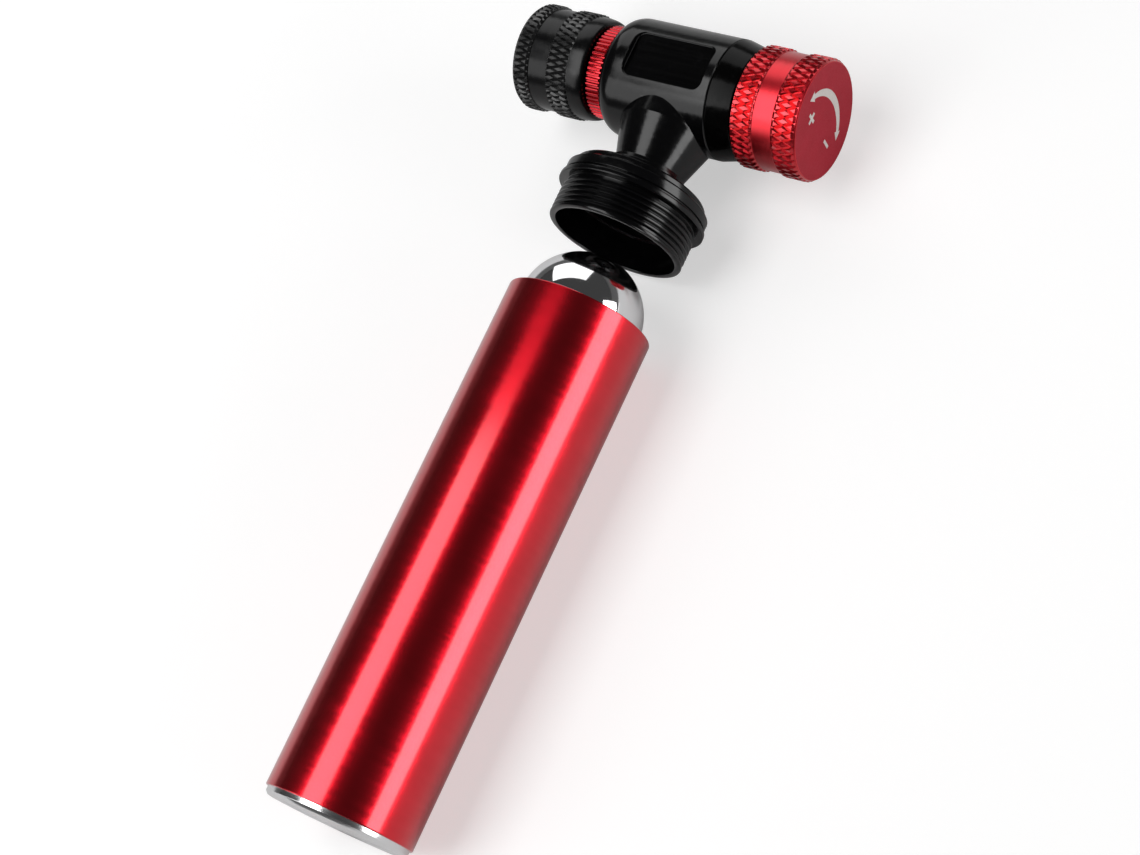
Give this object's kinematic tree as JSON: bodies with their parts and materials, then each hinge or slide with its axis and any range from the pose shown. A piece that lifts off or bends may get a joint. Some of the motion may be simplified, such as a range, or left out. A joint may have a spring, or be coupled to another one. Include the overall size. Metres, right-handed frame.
{
  "type": "tyre inflator",
  "caption": "Tee-shaped carbon dioxide tyre inflator: valve chuck, control knob and threaded collar, with its carrying sleeve and gas cartridge pulled off in line.",
  "frame": {"origin": "centre of the valve chuck's mouth, on the barrel's axis", "axes": "+X along the barrel from the chuck to the knob, -Y along the stem from the barrel to the sleeve, +Z out of the milled flat; the part lies with its sleeve pulled off in line"},
  "size_m": [0.0581, 0.151, 0.0278],
  "materials": {
    "black_anodised": "glossy black anodised, fine turning marks",
    "black_gland": "glossy black anodised",
    "black_chuck": "black anodised, knurled",
    "red_ring": "bright red anodised, straight knurl",
    "red_knob": "bright red anodised, knurled",
    "red_sleeve": "satin red anodised, fine turning marks",
    "bright_plug": "polished",
    "cartridge_chrome": "bright plated steel",
    "brass": "turned brass",
    "spring_steel": "plain steel",
    "dark_steel": "black oxide steel",
    "black_rubber": "plain rubber",
    "white_nylon": "natural nylon"
  },
  "bodies": {
    "head": {"head_body": "black_anodised", "gland": "black_gland", "gland_oring": "black_rubber", "spindle_oring": "black_rubber", "valve_seat": "brass", "nose": "brass", "nose_snap_ring": "spring_steel", "core_pin": "brass", "chuck_seal": "black_rubber", "socket_insert": "dark_steel", "pierce_seal": "black_rubber", "piercing_pin": "spring_steel"},
    "chuck": {"chuck_cap": "black_chuck"},
    "lock_ring": {"lock_ring": "red_ring"},
    "valve_pad": {"valve_pad": "white_nylon"},
    "knob": {"control_knob": "red_knob", "knob_grub_screw": "dark_steel", "valve_spindle": "brass"},
    "cartridge": {"cartridge_shell": "cartridge_chrome", "cartridge_cap": "spring_steel"},
    "cushion": {"cushion": "black_rubber"},
    "sleeve": {"sleeve": "red_sleeve", "end_plug": "bright_plug"}
  },
  "joints": [
    {"name": "chuck_turn", "type": "hinge", "parent": "head", "child": "chuck", "pos_m": [0, 0, 0], "axis": [1, 0, 0], "continuous": true},
    {"name": "ring_turn", "type": "hinge", "parent": "head", "child": "lock_ring", "pos_m": [0, 0, 0], "axis": [1, 0, 0], "continuous": true},
    {"name": "pad_lift", "type": "slide", "parent": "head", "child": "valve_pad", "axis": [1, 0, 0], "range_m": [0, 0.0009]},
    {"name": "knob_turn", "type": "hinge", "parent": "valve_pad", "child": "knob", "pos_m": [0, 0, 0], "axis": [1, 0, 0], "range_deg": [0, 360]},
    {"name": "sleeve_slide", "type": "slide", "parent": "head", "child": "cushion", "axis": [0, 1, 0], "range_m": [0, 0.021]},
    {"name": "sleeve_turn", "type": "hinge", "parent": "cushion", "child": "sleeve", "pos_m": [0.031, 0, 0], "axis": [0, 1, 0], "continuous": true},
    {"name": "cartridge_slide", "type": "slide", "parent": "head", "child": "cartridge", "axis": [0, 1, 0], "range_m": [0, 0.0124]}
  ],
  "couplings": [
    {"joint": "pad_lift", "follows": "knob_turn", "m_per_rad": 0.000127},
    {"joint": "cartridge_slide", "follows": "sleeve_slide", "ratio": 0.59}
  ]
}
